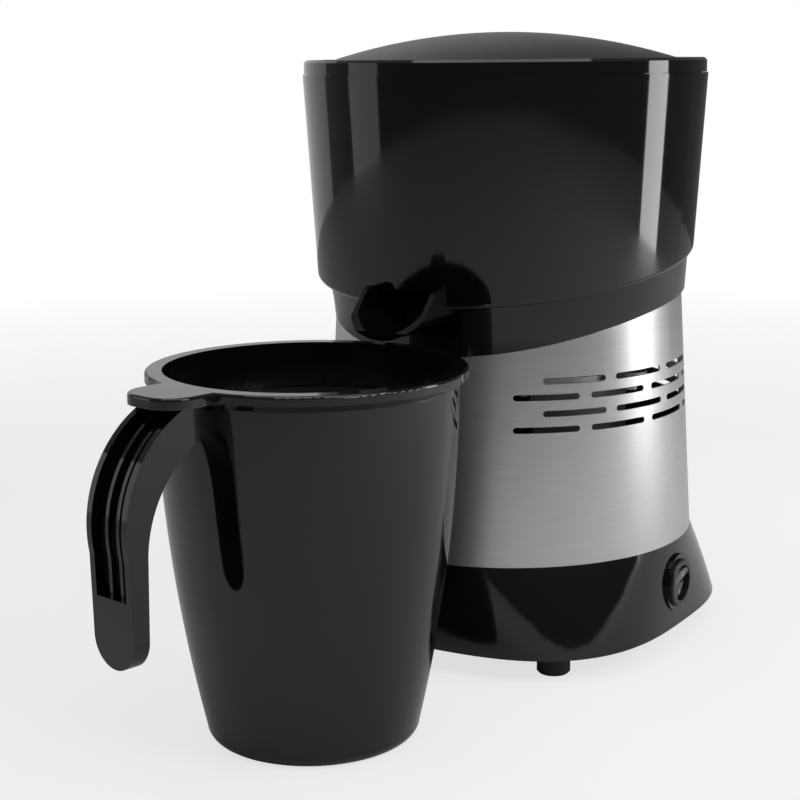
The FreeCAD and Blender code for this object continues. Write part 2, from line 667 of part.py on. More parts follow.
def jug_handle():
    face = handle_profile()
    face.translate(V(-HANDLE_HALF, 0, 0))
    body = face.extrude(V(2 * HANDLE_HALF, 0, 0))
    end_z = HANDLE_LOW + HANDLE_HALF
    sides = block(-HANDLE_HALF, HANDLE_HALF, -HANDLE_OUT - 5, -40, HANDLE_LOW - 1, end_z)
    end = Part.makeCylinder(HANDLE_HALF, HANDLE_OUT, V(0, -HANDLE_OUT - 5, end_z), V(0, 1, 0))
    body = body.cut(sides.cut(end))
    body = body.cut(channel_cut(-CHANNEL_HALF, CHANNEL_HALF, CHANNEL_DEEP / 2))
    slot = (2 * CHANNEL_HALF - 2 * RIB) / 3
    for k in range(3):
        left = -CHANNEL_HALF + k * (slot + RIB)
        body = body.cut(channel_cut(left, left + slot, CHANNEL_DEEP))
    under_rim = cylinder(JUG_RIM_R + RUN, JUG_HIGH - 7.2, JUG_HIGH)
    return place_jug(body.cut(jug_solid()).cut(under_rim))


def jug_wall_radius(height):
    """Inside radius of the jug's bowed wall at a height."""
    low, waist, neck = [V(r, 0, z) for r, z in jug_bow(-JUG_WALL, JUG_EDGE + 1, JUG_MOUTH_R)]
    bow = Part.Arc(low, waist, neck).toShape().Curve
    return bow.Center.x + math.sqrt(bow.Radius ** 2 - (height - bow.Center.z) ** 2)


def jug_strainer_ring():
    top = JUG_STRAINER_Z + JUG_STRAINER_RING
    outer = jug_wall_radius(JUG_STRAINER_Z) - FIT
    flange = ring(outer, outer - 5, JUG_STRAINER_Z, top)
    wall = ring(outer - 3, outer - 5, JUG_STRAINER_Z - JUG_STRAINER_DEEP, top)
    low = JUG_STRAINER_Z - JUG_STRAINER_DEEP
    bars = [block(-1.2, 1.2, -outer + 4, outer - 4, low, low + 2)]
    bars.append(turned(bars[0], 90))
    return moved(joined([flange, wall] + bars), y=JUG_Y)


def jug_strainer_mesh():
    low = JUG_STRAINER_Z - JUG_STRAINER_DEEP + 2
    radius = jug_wall_radius(JUG_STRAINER_Z) - FIT - 5 - RUN
    sheet = cylinder(radius, low, low + MESH_SHEET)
    holes = []
    reach = int(radius / MESH_STEP)
    for i in range(-reach, reach + 1):
        for j in range(-reach, reach + 1):
            x = (i + 0.5 * (j % 2)) * MESH_STEP
            y = j * MESH_STEP * 0.866
            if math.hypot(x, y) < radius - 3:
                holes.append(block(x - MESH_HOLE / 2, x + MESH_HOLE / 2, y - MESH_HOLE / 2, y + MESH_HOLE / 2,
                                   low - 1, low + MESH_SHEET + 1))
    return moved(sheet.cut(holes), y=JUG_Y)


# ---------------------------------------------------------------- motor
def stator_core():
    body = ring(STATOR_R, STATOR_R - YOKE, STACK_LOW, STACK_TOP)
    neck = block(-POLE_NECK / 2, POLE_NECK / 2, -STATOR_R + YOKE / 2, -BORE_R - 1, STACK_LOW, STACK_TOP)
    shoe = spun([(BORE_R, STACK_LOW), (BORE_R + POLE_SHOE, STACK_LOW), (BORE_R + POLE_SHOE, STACK_TOP),
                 (BORE_R, STACK_TOP)], POLE_ARC)
    shoe.rotate(V(0, 0, 0), UP, -90 - POLE_ARC / 2)
    body = joined([body] + around(neck, 4) + around(shoe, 4))
    return body.cut([cylinder(BOLT_R + HOLE, 0, 200, *polar(BOLT_RING, a)) for a in BOLT_ANGLES])


def field_coils():
    inner = -BORE_R - POLE_SHOE - 0.5
    outer = inner - COIL_RADIAL
    half = POLE_NECK / 2 + 0.3
    body = block(-half - COIL_BUILD, half + COIL_BUILD, outer, inner, STACK_LOW - COIL_BUILD, STACK_TOP + COIL_BUILD)
    body = body.makeFillet(COIL_BUILD * 0.7, [e for e in body.Edges if e.BoundBox.YLength > 1])
    body = body.cut(block(-half, half, outer - 1, inner + 1, STACK_LOW - 0.3, STACK_TOP + 0.3))
    return group(around(body, 4))


def bracket(low, hub_low, hub_high, lugs):
    body = ring(STATOR_R, STATOR_R - 11, low, low + BRACKET_RING)
    hub = cylinder(BRACKET_HUB_R, hub_low, hub_high)
    strap = block(-5, 5, -STATOR_R + 6, -STATOR_R + 11, min(low, hub_low), max(low + BRACKET_RING, hub_high))
    parts = [body, hub]
    level = hub_low if hub_low > low else hub_high - BRACKET_RING
    spoke = block(-5, 5, -STATOR_R + 5, -BRACKET_HUB_R + 2, level, level + BRACKET_RING)
    parts += around(spoke, 4) + around(strap, 4)
    if lugs:
        parts += [cylinder(MOUNT_LUG_R, low, low + BRACKET_RING, *polar(MOUNT_RING, a)) for a in MOUNT_ANGLES]
    body = joined(parts)
    cuts = [cylinder(BOLT_R + HOLE, 0, 200, *polar(BOLT_RING, a)) for a in BOLT_ANGLES]
    if lugs:
        cuts += [cylinder(GROMMET_R, 0, 200, *polar(MOUNT_RING, a)) for a in MOUNT_ANGLES]
    return body.cut(cuts)


def upper_bracket():
    body = bracket(STACK_TOP, UPPER_HUB[0], UPPER_HUB[1], True)
    pocket = cylinder(BEARING_R, UPPER_HUB[0] - 1, UPPER_HUB[0] + BEARING_HIGH)
    return body.cut([pocket, cylinder(SHAFT_R + 2, 0, 200)])


def lower_bracket():
    body = bracket(STACK_LOW - BRACKET_RING, LOWER_HUB[0], LOWER_HUB[1], False)
    pocket = cylinder(BEARING_R, LOWER_HUB[1] - BEARING_HIGH, LOWER_HUB[1] + 1)
    return body.cut([pocket, cylinder(SHAFT_R + 2, 0, 200)])


def bearing(low):
    body = ring(BEARING_R, SHAFT_R + RUN, low, low + BEARING_HIGH)
    return body.cut(ring(BEARING_R - 2.5, BEARING_R - 4.5, low - 1, low + 0.6)).cut(
        ring(BEARING_R - 2.5, BEARING_R - 4.5, low + BEARING_HIGH - 0.6, low + BEARING_HIGH + 1))


def hexagon(radius, low, high, x, y):
    points = [V(x + radius * math.cos(math.radians(60 * k)), y + radius * math.sin(math.radians(60 * k)), low)
              for k in range(6)]
    return Part.Face(Part.makePolygon(points + points[:1])).extrude(V(0, 0, high - low))


def through_bolts():
    top = STACK_TOP + BRACKET_RING
    low = STACK_LOW - BRACKET_RING - 5
    bolts = [cylinder(BOLT_R, low, top, *polar(BOLT_RING, a)).fuse(hexagon(3.6, top, top + 2.6, *polar(BOLT_RING, a)))
             for a in BOLT_ANGLES]
    return group(bolts)


def through_nuts():
    top = STACK_LOW - BRACKET_RING
    nuts = [hexagon(3.9, top - 3, top, *polar(BOLT_RING, a)).cut(cylinder(BOLT_R + RUN, 0, 200, *polar(BOLT_RING, a)))
            for a in BOLT_ANGLES]
    return group(nuts)


def rotor_core():
    body = ring(BORE_R - AIR_GAP, SHAFT_R, STACK_LOW, STACK_TOP)
    bar = cylinder(1.6, STACK_LOW - 1, STACK_TOP + 1, BORE_R - AIR_GAP - 3)
    return body.cut(around(bar, 16))


def rotor_cage():
    """The cast end rings and the bars that join them through the core."""
    inner = SHAFT_R + 6
    outer = BORE_R - AIR_GAP - 0.8
    rings = [ring(outer, inner, STACK_LOW - END_RING, STACK_LOW), ring(outer, inner, STACK_TOP, STACK_TOP + END_RING)]
    bar = cylinder(1.6, STACK_LOW - 0.5, STACK_TOP + 0.5, BORE_R - AIR_GAP - 3)
    return joined(rings + around(bar, 16))


def motor_shaft():
    body = cylinder(SHAFT_R, SHAFT_LOW, SHAFT_TOP)
    return body.makeChamfer(0.6, [body.Edges[0], body.Edges[2]])


def cooling_fan():
    hub = ring(9, SHAFT_R, FAN_LOW, FAN_LOW + FAN_HIGH)
    disc = ring(FAN_R, SHAFT_R, FAN_LOW + FAN_HIGH - 1.8, FAN_LOW + FAN_HIGH)
    blade = block(-0.9, 0.9, -FAN_R + 1, -8, FAN_LOW, FAN_LOW + FAN_HIGH - 1)
    return joined([hub, disc] + around(blade, FAN_BLADES))


def drive_hub():
    low = DECK_TOP - 1
    top = WELL_TOP - 16 - FIT - 12 - FIT
    body = cylinder(7, low, top)
    body = joined([body, square_bar(HUB_SQUARE, top, top + 8)])
    skirt = cylinder(10, DECK_TOP + 4, DECK_TOP + 5.2)
    body = joined([body, skirt])
    return body.cut(cylinder(SHAFT_R, low - 1, SHAFT_TOP))


def shaft_seal():
    return ring(DECK_BORE, 7 + FIT, DECK_TOP - DECK, DECK_TOP)


def motor_grommets():
    body = joined([cylinder(GROMMET_R, STACK_TOP, STACK_TOP + BRACKET_RING),
                   cylinder(6.6, STACK_TOP + BRACKET_RING, STACK_TOP + BRACKET_RING + 2.5),
                   cylinder(6.6, STACK_TOP - 2.5, STACK_TOP)])
    body = body.cut(cylinder(MOUNT_SCREW_R + HOLE, 0, 200))
    return group([moved(body, *polar(MOUNT_RING, a)) for a in MOUNT_ANGLES])


def motor_screws():
    pin = screw(4.2, 2.4, MOUNT_SCREW_R, BRACKET_RING + 5 + 9)
    return group([moved(pin, *polar(MOUNT_RING, a), STACK_TOP - 2.5 - 2.4) for a in MOUNT_ANGLES])


# ---------------------------------------------------------------- switch, inlet, terminals
def switch_body():
    face = SWITCH_FACE_X
    bezel = side_cylinder(SWITCH_BEZEL_R, face, face + SWITCH_BEZEL)
    bezel = bezel.makeFillet(1.0, [e for e in bezel.Edges if e.BoundBox.XMin > face + SWITCH_BEZEL - 0.1])
    body = joined([bezel, side_cylinder(SWITCH_BARREL_R, face - SWITCH_DEEP, face)])
    pocket = side_cylinder(ROCKER_R + FIT, ROCKER_X - ROCKER_R - 0.5, face + SWITCH_BEZEL + 1)
    reach = SWITCH_BARREL_R - 0.4
    pivot = Part.makeCylinder(1.0 + RUN, 2 * reach, V(ROCKER_X, SWITCH_Y - reach, SWITCH_Z), V(0, 1, 0))
    return body.cut([pocket, pivot])


def switch_rocker():
    centre = V(ROCKER_X, SWITCH_Y, SWITCH_Z)
    ball = Part.makeSphere(ROCKER_R, centre)
    profile = [V(-4.5, 0, -12), V(2.9, 0, -12), V(1.3, 0, 0), V(2.9, 0, 12), V(-4.5, 0, 12)]
    face = Part.Face(Part.makePolygon(profile + profile[:1]))
    face.translate(centre + V(0, -12, 0))
    body = ball.common(face.extrude(V(0, 24, 0)))
    pivot = Part.makeCylinder(1.0, 2 * SWITCH_BARREL_R - 1.4, centre - V(0, SWITCH_BARREL_R - 0.7, 0), V(0, 1, 0))
    body = joined([body, pivot])
    body.rotate(centre, V(0, 1, 0), ROCKER_TILT)
    return body


def switch_terminals():
    back = SWITCH_FACE_X - SWITCH_DEEP
    blade = block(back - 8, back, SWITCH_Y - 3.1, SWITCH_Y + 3.1, SWITCH_Z - 0.4, SWITCH_Z + 0.4)
    return group([moved(blade, z=-4), moved(blade, z=4)])


def cord_inlet():
    face = INLET_FACE_Y
    body = joined([rear_cylinder(INLET_FLANGE_R, face, face + 1.8), rear_cylinder(INLET_R, face - 16, face)])
    return body.cut(rear_cylinder(INLET_BORE_R, face - 30, face + 10))


def terminal_block():
    low = SKIRT_BOTTOM + 1 + PLATE
    body = block(-18, 18, 58, 70, low, low + 12)
    holes = [Part.makeCylinder(2.0, 20, V(x, 54, low + 6), V(0, 1, 0)) for x in (-12, 0, 12)]
    wells = [cylinder(2.2, low + 6, low + 13, x, 64) for x in (-12, 0, 12)]
    return body.cut(holes + wells)


def terminal_screws():
    low = SKIRT_BOTTOM + 1 + PLATE
    screws = [cylinder(2.0, low + 7.2, low + 12.4, x, 64).cut(block(x - 3, x + 3, 63.7, 64.3, low + 11.6, low + 13))
              for x in (-12, 0, 12)]
    return group(screws)


def run_capacitor():
    low = SKIRT_BOTTOM + 1 + PLATE
    body = block(-62, -42, -10, 28, low, low + 26)
    return body.makeFillet(1.5, [e for e in body.Edges if e.BoundBox.ZLength > 1])


# ---------------------------------------------------------------- build
NODES = {
    "base_skirt": base_skirt, "base_plate": base_plate, "foot_screws": foot_screws,
    "steel_sleeve": steel_sleeve, "top_shroud": top_shroud, "housing_screws": housing_screws,
    "bowl": bowl, "bowl_bush": bowl_bush, "spindle": spindle, "cone": cone, "strainer": strainer,
    "lid_ring": lid_ring, "lid_panel": lid_panel,
    "jug_body": jug_body, "jug_handle": jug_handle,
    "jug_strainer_ring": jug_strainer_ring, "jug_strainer_mesh": jug_strainer_mesh,
    "stator_core": stator_core, "field_coils": field_coils, "upper_bracket": upper_bracket,
    "lower_bracket": lower_bracket,
    "upper_bearing": lambda: bearing(UPPER_HUB[0]), "lower_bearing": lambda: bearing(LOWER_HUB[1] - BEARING_HIGH),
    "through_bolts": through_bolts, "through_nuts": through_nuts,
    "rotor_core": rotor_core, "rotor_cage": rotor_cage, "motor_shaft": motor_shaft,
    "cooling_fan": cooling_fan, "drive_hub": drive_hub, "shaft_seal": shaft_seal,
    "motor_grommets": motor_grommets, "motor_screws": motor_screws,
    "switch_body": switch_body, "switch_rocker": switch_rocker, "switch_terminals": switch_terminals,
    "cord_inlet": cord_inlet, "terminal_block": terminal_block, "terminal_screws": terminal_screws,
    "run_capacitor": run_capacitor,
}


def build():
    os.makedirs("parts", exist_ok=True)
    shapes = {name: make() for name, make in NODES.items()}
    for number, (x, y) in enumerate(foot_places(), start=1):
        shapes["foot_%d" % number] = foot(x, y)
    front = shapes["jug_handle"].optimalBoundingBox(False, False).YMin
    back = shapes["base_skirt"].optimalBoundingBox(False, False).YMax
    middle = round((front + back) / 2, 2)
    for name, shape in shapes.items():
        shape.translate(V(0, -middle, 0))
        print("%-20s solids %d  volume %.0f  valid %s" % (name, len(shape.Solids), shape.Volume, shape.isValid()))
        shape.exportStep("parts/%s.step" % name)
    print("motor axis at y = %.2f" % -middle)
    return middle


MIDDLE = build()
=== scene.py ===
import math

import bmesh
import bpy
from bpy.props import FloatProperty, FloatVectorProperty, PointerProperty
from mathutils import Matrix, Vector


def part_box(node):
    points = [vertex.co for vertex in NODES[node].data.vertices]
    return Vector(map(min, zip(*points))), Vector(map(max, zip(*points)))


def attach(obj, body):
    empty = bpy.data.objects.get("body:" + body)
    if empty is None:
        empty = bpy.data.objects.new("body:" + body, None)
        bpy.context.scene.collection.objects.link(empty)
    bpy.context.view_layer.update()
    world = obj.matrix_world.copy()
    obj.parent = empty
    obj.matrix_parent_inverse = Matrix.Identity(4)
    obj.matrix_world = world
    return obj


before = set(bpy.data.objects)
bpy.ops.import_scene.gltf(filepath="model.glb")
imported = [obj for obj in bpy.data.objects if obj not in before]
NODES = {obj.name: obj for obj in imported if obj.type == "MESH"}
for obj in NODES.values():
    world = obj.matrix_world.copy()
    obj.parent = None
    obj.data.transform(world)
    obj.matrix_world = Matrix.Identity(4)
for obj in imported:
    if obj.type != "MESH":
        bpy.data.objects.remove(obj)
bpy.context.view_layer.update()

bl_info = {
    "name": "Citrus juicer looks",
    "version": (1, 0, 0),
    "blender": (4, 5, 0),
    "location": "View3D > Sidebar > Juicer",
    "description": "Finishes, switch marks, lights and camera for the packed citrus juicer",
    "category": "Object",
}

GLOSS_NODES = ("base_skirt", "top_shroud", "bowl", "lid_ring", "jug_body", "jug_handle")
SATIN_NODES = ("lid_panel", "cone", "strainer", "jug_strainer_ring", "switch_body", "base_plate")
PALE_NODES = ("bowl_bush", "spindle", "cooling_fan", "drive_hub", "terminal_block")
RUBBER_NODES = ("foot_1", "foot_2", "foot_3", "foot_4", "shaft_seal", "motor_grommets", "cord_inlet")
SCREW_NODES = ("foot_screws", "housing_screws", "motor_screws", "terminal_screws", "through_bolts",
               "through_nuts")
GROUND_NODES = ("upper_bearing", "lower_bearing", "motor_shaft")
CAST_NODES = ("upper_bracket", "lower_bracket", "rotor_cage")
CORE_NODES = ("stator_core", "rotor_core")

SHEETS_PER_METRE = 1000.0
TURNS_PER_METRE = 900.0
STROKE_STRETCH = 0.04

SIDE_GLOW = 0.10
BEHIND_GLOW = 0.5
BEHIND_EDGE = 0.82
TOP_GLOW = 0.15
FLOOR_LIT_SHARE = 0.72

SENSOR_WIDTH = 36.0
CAMERA_RIGHT = (0.8540, 0.5202, -0.0087)
CAMERA_FORWARD = (-0.5117, 0.8367, -0.1949)

AIM_POINT = (0.0, 0.0, 0.16)
# name, azimuth and elevation in degrees, distance, width and height in metres, watts
SOFTBOXES = (
    ("strip_right", 123, 3, 1.15, 0.30, 0.9, 5.5),
    ("panel_right", 84, 36, 1.3, 0.6, 0.5, 5.0),
    ("panel_left", -58, 8, 1.5, 0.6, 1.0, 1.6),
    ("overhead", 20, 82, 1.2, 1.1, 0.9, 5.0),
)


# ---------------------------------------------------------------- sizes and colours a user may change
class JuicerFinish(bpy.types.PropertyGroup):
    gloss_colour: FloatVectorProperty(
        name="Gloss plastic", description="Colour of the polished black mouldings",
        default=(0.003, 0.003, 0.0033), subtype="COLOR", size=3, min=0.0, max=1.0)
    satin_colour: FloatVectorProperty(
        name="Satin plastic", description="Colour of the textured black mouldings",
        default=(0.006, 0.006, 0.0065), subtype="COLOR", size=3, min=0.0, max=1.0)
    steel_colour: FloatVectorProperty(
        name="Sleeve steel", description="Colour of the brushed sleeve",
        default=(0.55, 0.55, 0.56), subtype="COLOR", size=3, min=0.0, max=1.0)
    brush_pitch: FloatProperty(
        name="Brush pitch", description="Distance between brush strokes on the sleeve",
        default=0.0007, unit="LENGTH", min=0.0002, max=0.005)
    grain: FloatProperty(
        name="Satin grain", description="Size of the fine grain on satin mouldings",
        default=0.0009, unit="LENGTH", min=0.0002, max=0.005)
    ripple: FloatProperty(
        name="Moulding ripple", description="Size of the faint waves in polished mouldings",
        default=0.05, unit="LENGTH", min=0.005, max=0.5)


class JuicerSwitch(bpy.types.PropertyGroup):
    ring_radius: FloatProperty(
        name="Off ring radius", description="Radius of the round off mark on the rocker",
        default=0.0011, unit="LENGTH", min=0.0005, max=0.003)
    bar_length: FloatProperty(
        name="On bar length", description="Length of the straight on mark on the rocker",
        default=0.0024, unit="LENGTH", min=0.001, max=0.006)
    line_width: FloatProperty(
        name="Mark width", description="Width of the lines of both marks",
        default=0.0004, unit="LENGTH", min=0.0001, max=0.001)
    rise: FloatProperty(
        name="Mark rise", description="How far the marks stand off the rocker",
        default=0.00008, unit="LENGTH", min=0.00001, max=0.0005)
    spread: FloatProperty(
        name="Mark spread", description="Distance of each mark from the rocker's middle",
        default=0.0045, unit="LENGTH", min=0.001, max=0.008)


class JuicerStage(bpy.types.PropertyGroup):
    floor_colour: FloatVectorProperty(
        name="Floor", description="Colour of the pale floor",
        default=(0.86, 0.86, 0.86), subtype="COLOR", size=3, min=0.0, max=1.0)
    floor_radius: FloatProperty(
        name="Floor radius", description="Radius of the pale floor",
        default=1.6, unit="LENGTH", min=0.5, max=10.0)
    ambient: FloatProperty(
        name="Ambient", description="Brightness of the soft light from all round",
        default=0.10, min=0.0, max=2.0)
    focal_length: FloatProperty(
        name="Focal length", description="Focal length of the camera",
        default=78.63, subtype="DISTANCE_CAMERA", min=20.0, max=300.0)
    camera_place: FloatVectorProperty(
        name="Camera place", description="Where the camera stands",
        default=(0.3984, -0.6661, 0.2818), subtype="TRANSLATION", size=3)


# ---------------------------------------------------------------- shader maths
class Value:
    """A node socket that can be used in plain arithmetic."""

    def __init__(self, finish, socket):
        self.finish = finish
        self.socket = socket

    def _math(self, operation, first, second):
        return self.finish.node("ShaderNodeMath", {"operation": operation}, {0: first, 1: second})

    def __add__(self, other):
        return self._math("ADD", self, other)

    __radd__ = __add__

    def __sub__(self, other):
        return self._math("SUBTRACT", self, other)

    def __rsub__(self, other):
        return self._math("SUBTRACT", other, self)

    def __mul__(self, other):
        return self._math("MULTIPLY", self, other)

    __rmul__ = __mul__

    def __truediv__(self, other):
        return self._math("DIVIDE", self, other)

    def above(self, other):
        return self._math("GREATER_THAN", self, other)

    def smallest(self, other):
        return self._math("MINIMUM", self, other)

    def largest(self, other):
        return self._math("MAXIMUM", self, other)

    def power(self, other):
        return self._math("POWER", self, other)


class Finish:
    """One node material, or the world, written as expressions."""

    def __init__(self, name, tree=None):
        if tree is None:
            self.material = bpy.data.materials.new(name)
            self.material.use_nodes = True
            tree = self.material.node_tree
        self.tree = tree
        self.tree.nodes.clear()

    def node(self, kind, settings=None, inputs=None, output=0):
        made = self.tree.nodes.new(kind)
        for key, value in (settings or {}).items():
            setattr(made, key, value)
        for key, value in (inputs or {}).items():
            if isinstance(value, Value):
                self.tree.links.new(value.socket, made.inputs[key])
            else:
                made.inputs[key].default_value = value
        return Value(self, made.outputs[output])

    def place(self):
        """Position in the object's own metres."""
        return self.node("ShaderNodeTexCoord", output=3)

    def place_world(self):
        """Direction in which the background is seen."""
        return self.node("ShaderNodeTexCoord", output=0)

    def axes(self, vector):
        return [self.node("ShaderNodeSeparateXYZ", inputs={0: vector}, output=k) for k in range(3)]

    def vector(self, x, y, z):
        return self.node("ShaderNodeCombineXYZ", inputs={0: x, 1: y, 2: z})

    def noise(self, vector, size, detail=2.0):
        """Cloudy noise from 0 to 1 whose features are about size metres across."""
        return self.node("ShaderNodeTexNoise",
                         inputs={"Vector": vector, "Scale": 1.0 / size, "Detail": detail})

    def mixed(self, factor, low, high):
        return self.node("ShaderNodeMix", {"data_type": "RGBA"},
                         {0: factor, 6: (*low, 1.0), 7: (*high, 1.0)}, output=2)

    def ridges(self, distance, per_metre):
        """Even ridges along a distance, from 0 in each valley to 1 on each crest."""
        fold = {0: distance * per_metre, 1: 0.5}
        return self.node("ShaderNodeMath", {"operation": "PINGPONG"}, fold) * 2.0

    def bump(self, height, depth, strength=1.0):
        return self.node("ShaderNodeBump", inputs={"Height": height, "Distance": depth,
                                                   "Strength": strength})

    def surface(self, **sockets):
        names = {key.replace("_", " ").title(): value for key, value in sockets.items()}
        if "Ior" in names:
            names["IOR"] = names.pop("Ior")
        shader = self.node("ShaderNodeBsdfPrincipled", inputs=names)
        self.finish(shader)
        return self.material

    def finish(self, shader, kind="ShaderNodeOutputMaterial"):
        last = self.tree.nodes.new(kind)
        self.tree.links.new(shader.socket, last.inputs["Surface"])


def shade(colour, amount):
    return tuple(min(1.0, max(0.0, channel * amount)) for channel in colour)


# ---------------------------------------------------------------- finishes
def polished_black(colour, ripple):
    """Polished black moulding: deep gloss, faint waves and light handling marks."""
    finish = Finish("polished_black")
    place = finish.place()
    waves = finish.noise(place, ripple, 1.0)
    marks = finish.noise(place, 0.006, 4.0)
    rough = 0.035 + 0.03 * marks + 0.02 * waves
    tint = finish.mixed(waves, shade(colour, 0.85), shade(colour, 1.2))
    return finish.surface(base_color=tint, roughness=rough, ior=1.5,
                          normal=finish.bump(waves, 0.0004, 0.25))


def grained_black(name, colour, grain, rough):
    """Satin black moulding with a fine even grain."""
    finish = Finish(name)
    place = finish.place()
    pits = finish.noise(place, grain, 3.0)
    patches = finish.noise(place, 0.03, 2.0)
    tint = finish.mixed(pits, shade(colour, 0.7), shade(colour, 1.5))
    return finish.surface(base_color=tint, roughness=rough + 0.08 * patches,
                          normal=finish.bump(pits, grain * 0.15, 0.35))


def brushed_steel(colour, pitch):
    """Sheet steel brushed round the sleeve: long strokes across, fine steps up and down."""
    finish = Finish("brushed_steel")
    x, y, z = finish.axes(finish.place())
    stretched = finish.vector(x * STROKE_STRETCH, y * STROKE_STRETCH, z)
    strokes = finish.noise(stretched, pitch, 3.0)
    broad = finish.noise(stretched, pitch * 9.0, 2.0)
    tint = finish.mixed(strokes, shade(colour, 0.86), shade(colour, 1.12))
    return finish.surface(base_color=tint, metallic=1.0, roughness=0.27 + 0.10 * strokes + 0.05 * broad,
                          anisotropic=0.35, normal=finish.bump(strokes, pitch * 0.03, 0.3))


def plain_metal(name, colour, rough, size):
    """Bare or plated metal with uneven polish."""
    finish = Finish(name)
    place = finish.place()
    cloud = finish.noise(place, size, 4.0)
    tint = finish.mixed(cloud, shade(colour, 0.8), shade(colour, 1.15))
    return finish.surface(base_color=tint, metallic=1.0, roughness=rough + 0.12 * cloud,
                          normal=finish.bump(cloud, size * 0.02, 0.2))


def stacked_sheet(colour):
    """The motor core: a stack of thin varnished steel sheets seen edge on."""
    finish = Finish("stacked_sheet")
    height = finish.axes(finish.place())[2]
    edge = finish.ridges(height, SHEETS_PER_METRE)
    tint = finish.mixed(edge, shade(colour, 0.5), shade(colour, 1.2))
    return finish.surface(base_color=tint, metallic=0.7, roughness=0.42 + 0.15 * edge,
                          normal=finish.bump(edge, 0.0001, 0.6))


def wound_copper(colour):
    """Enamelled wire laid in turns."""
    finish = Finish("wound_copper")
    x, y, z = finish.axes(finish.place())
    turn = finish.ridges(x + y + z, TURNS_PER_METRE)
    tint = finish.mixed(turn, shade(colour, 0.45), shade(colour, 1.25))
    return finish.surface(base_color=tint, metallic=0.85, roughness=0.3 + 0.1 * turn,
                          normal=finish.bump(turn, 0.0003, 0.7))


def moulded(name, colour, rough):
    """Pale moulded plastic with a little mottling."""
    finish = Finish(name)
    place = finish.place()
    cloud = finish.noise(place, 0.012, 3.0)
    tint = finish.mixed(cloud, shade(colour, 0.93), shade(colour, 1.04))
    return finish.surface(base_color=tint, roughness=rough + 0.08 * cloud,
                          normal=finish.bump(cloud, 0.0002, 0.2))


def rubber(colour):
    """Soft black rubber with dust in its pores."""
    finish = Finish("soft_rubber")
    place = finish.place()
    pores = finish.noise(place, 0.0006, 3.0)
    tint = finish.mixed(pores, shade(colour, 0.7), shade(colour, 1.6))
    return finish.surface(base_color=tint, roughness=0.62 + 0.15 * pores,
                          normal=finish.bump(pores, 0.00008, 0.5))


def coat(material, *names):
    """Gives CAD nodes or pieces their material."""
    for name in names:
        piece = NODES[name] if isinstance(name, str) else name
        if not piece.data.materials:
            piece.data.materials.append(material)
        for slot in piece.material_slots:
            slot.material = material


# ---------------------------------------------------------------- operators
class JUICER_OT_gloss(bpy.types.Operator):
    """Finish the polished black mouldings: skirt, shroud, bowl, lid rim and jug"""
    bl_idname = "juicer.gloss"
    bl_label = "Polished mouldings"

    def execute(self, context):
        sizes = context.scene.juicer_finish
        material = polished_black(sizes.gloss_colour, sizes.ripple)
        coat(material, *GLOSS_NODES)
        coat(material, "switch_rocker")
        return {"FINISHED"}


class JUICER_OT_satin(bpy.types.Operator):
    """Finish the textured black mouldings: lid dome, cone, strainers, switch and base plate"""
    bl_idname = "juicer.satin"
    bl_label = "Satin mouldings"

    def execute(self, context):
        sizes = context.scene.juicer_finish
        coat(grained_black("satin_black", sizes.satin_colour, sizes.grain, 0.34), *SATIN_NODES)
        return {"FINISHED"}


class JUICER_OT_sleeve(bpy.types.Operator):
    """Finish the brushed steel sleeve and the jug strainer's mesh"""
    bl_idname = "juicer.sleeve"
    bl_label = "Steel sleeve"

    def execute(self, context):
        sizes = context.scene.juicer_finish
        coat(brushed_steel(sizes.steel_colour, sizes.brush_pitch), "steel_sleeve")
        coat(plain_metal("mesh_steel", (0.45, 0.45, 0.46), 0.3, 0.004), "jug_strainer_mesh")
        return {"FINISHED"}


class JUICER_OT_motor(bpy.types.Operator):
    """Finish the motor, its brackets, bearings, shaft and fixings"""
    bl_idname = "juicer.motor"
    bl_label = "Motor and fixings"

    def execute(self, context):
        coat(plain_metal("zinc_steel", (0.58, 0.58, 0.55), 0.28, 0.003), *SCREW_NODES)
        coat(plain_metal("ground_steel", (0.55, 0.55, 0.57), 0.18, 0.002), *GROUND_NODES)
        coat(plain_metal("cast_alloy", (0.6, 0.6, 0.61), 0.42, 0.0015), *CAST_NODES)
        coat(plain_metal("terminal_brass", (0.72, 0.55, 0.26), 0.25, 0.002), "switch_terminals")
        coat(stacked_sheet((0.2, 0.2, 0.22)), *CORE_NODES)
        coat(wound_copper((0.5, 0.2, 0.07)), "field_coils")
        return {"FINISHED"}


class JUICER_OT_small_parts(bpy.types.Operator):
    """Finish the rubber feet, bushes, seals and the pale inner plastics"""
    bl_idname = "juicer.small_parts"
    bl_label = "Feet and inner plastics"

    def execute(self, context):
        coat(rubber((0.012, 0.012, 0.012)), *RUBBER_NODES)
        coat(moulded("pale_plastic", (0.72, 0.72, 0.69), 0.38), *PALE_NODES)
        coat(moulded("capacitor_grey", (0.28, 0.29, 0.31), 0.45), "run_capacitor")
        return {"FINISHED"}


